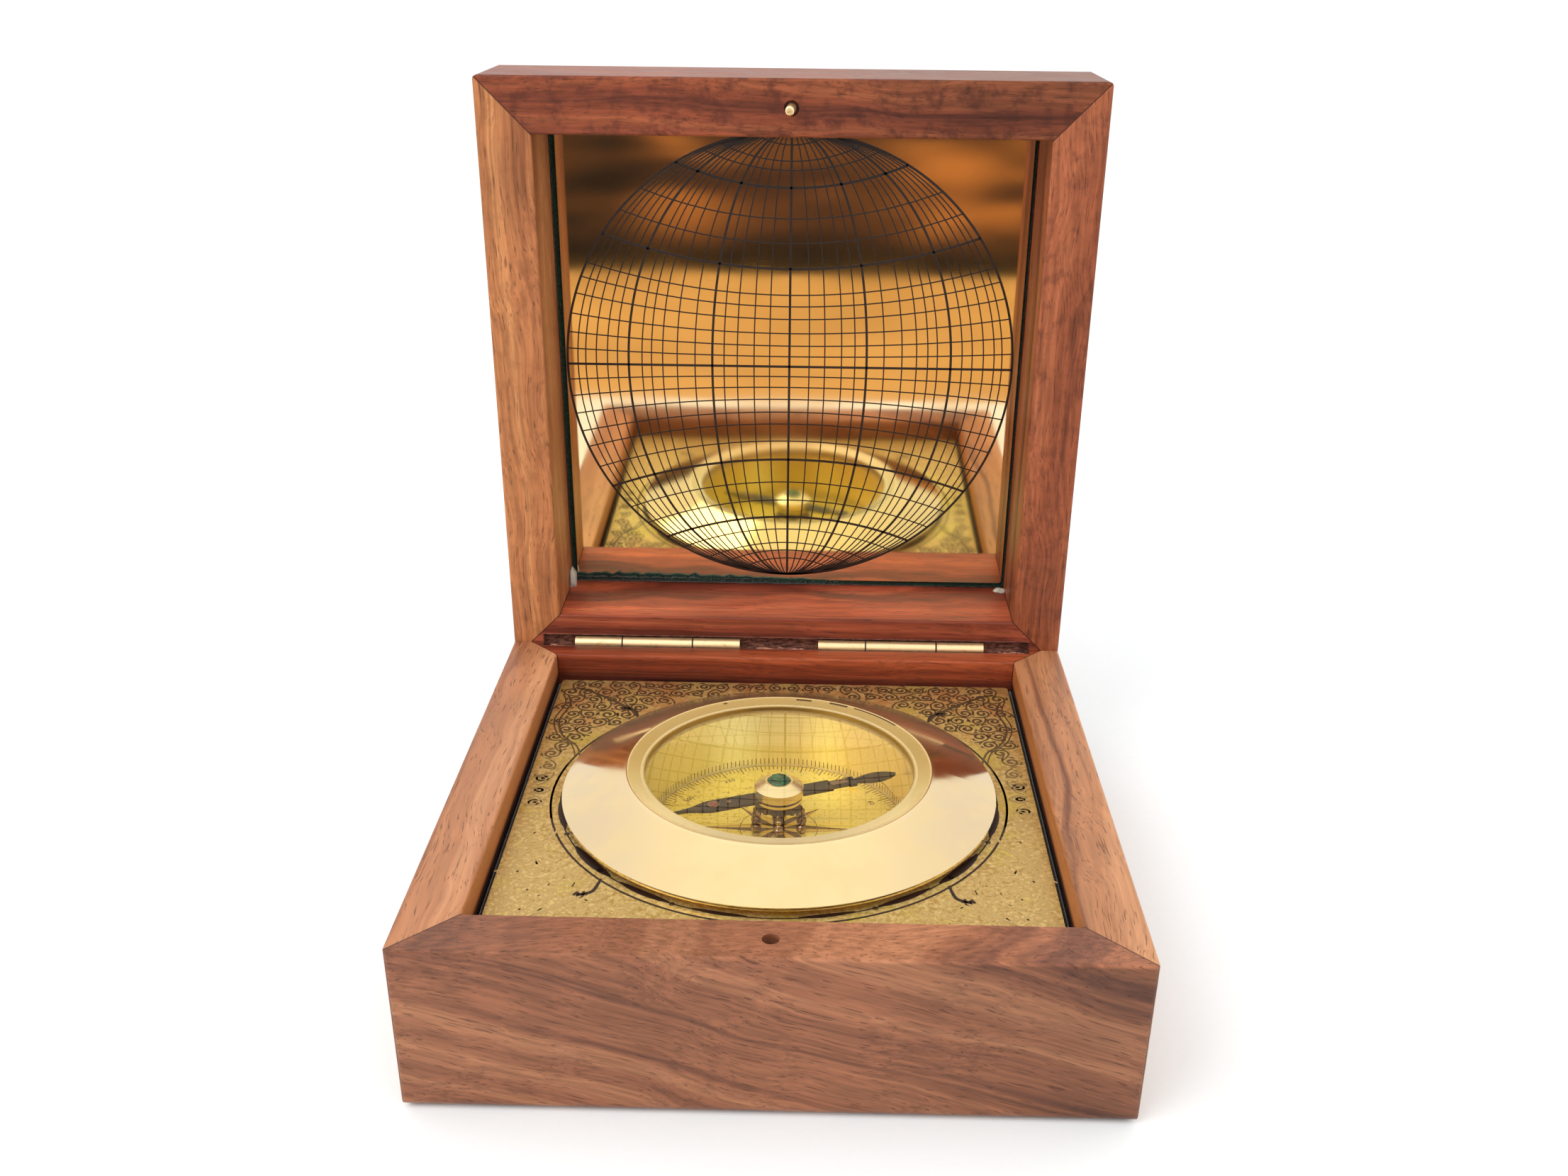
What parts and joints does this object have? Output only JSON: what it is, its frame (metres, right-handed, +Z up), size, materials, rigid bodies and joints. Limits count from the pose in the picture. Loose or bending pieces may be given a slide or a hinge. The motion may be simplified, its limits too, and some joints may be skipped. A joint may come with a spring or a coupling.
{
  "type": "compass box",
  "caption": "Square hardwood box with a mitred frame, a dry compass under glass set in an engraved brass plate, and a hinged lid lined with a mirror brass grid plate.",
  "frame": {"origin": "centre of the underside of the base", "axes": "+Z up, +X to the right, -Y towards the front rail with the latch hole; the lid stands open behind, at +Y"},
  "size_m": [0.1, 0.1188, 0.1227],
  "materials": {
    "rail_wood": "oiled, satin, reddish brown with dark streaks",
    "board_wood": "oiled, satin",
    "strip_wood": "sawn, bare",
    "green_felt": "dark green felt",
    "antique_brass": "antiqued, engraved and blackened",
    "polished_brass": "turned and polished",
    "mirror_brass": "mirror polished, slightly wavy",
    "satin_brass": "satin, turned",
    "dial_brass": "engraved and lacquered",
    "hinge_brass": "drawn, lightly worn",
    "blued_steel": "blued, dark",
    "clear_glass": "clear, flat",
    "green_stone": "faceted, dark green",
    "gasket_rubber": "matt, amber",
    "black_enamel": "thin black fill of the printed grid and the engraving"
  },
  "bodies": {
    "base": {"base_front_rail": "rail_wood", "base_back_rail": "rail_wood", "base_left_rail": "rail_wood", "base_right_rail": "rail_wood", "base_bottom_board": "board_wood", "support_strip_front": "strip_wood", "support_strip_back": "strip_wood", "support_strip_left": "strip_wood", "support_strip_right": "strip_wood", "base_felt": "green_felt", "engraved_plate": "antique_brass", "bezel_ring": "polished_brass", "compass_cup": "satin_brass", "dial": "dial_brass", "hinge_base_leaf_left": "hinge_brass", "hinge_base_leaf_right": "hinge_brass", "hinge_pin_left": "hinge_brass", "hinge_pin_right": "hinge_brass", "base_leaf_brads": "hinge_brass", "bezel_screws": "hinge_brass", "pivot_nut": "hinge_brass", "pivot_stand": "blued_steel", "pivot_pin": "blued_steel", "crystal": "clear_glass", "crystal_gasket": "gasket_rubber"},
    "lid": {"lid_front_rail": "rail_wood", "lid_back_rail": "rail_wood", "lid_left_rail": "rail_wood", "lid_right_rail": "rail_wood", "lid_top_panel": "board_wood", "lid_felt": "green_felt", "grid_plate": "mirror_brass", "latch_pin": "hinge_brass", "hinge_lid_leaf_left": "hinge_brass", "hinge_lid_leaf_right": "hinge_brass", "lid_leaf_brads": "hinge_brass"},
    "needle": {"needle_blade": "blued_steel", "needle_inlays": "satin_brass", "needle_hub": "satin_brass", "needle_collar": "satin_brass", "needle_bearing": "satin_brass", "needle_gem": "green_stone"}
  },
  "joints": [
    {"name": "lid_hinge", "type": "hinge", "parent": "base", "child": "lid", "pos_m": [0, 0.0467, 0.02605], "axis": [1, 0, 0], "range_deg": [0, 90]},
    {"name": "needle_spin", "type": "hinge", "parent": "base", "child": "needle", "pos_m": [0, 0, 0.0207], "axis": [0, 0, 1], "continuous": true}
  ]
}
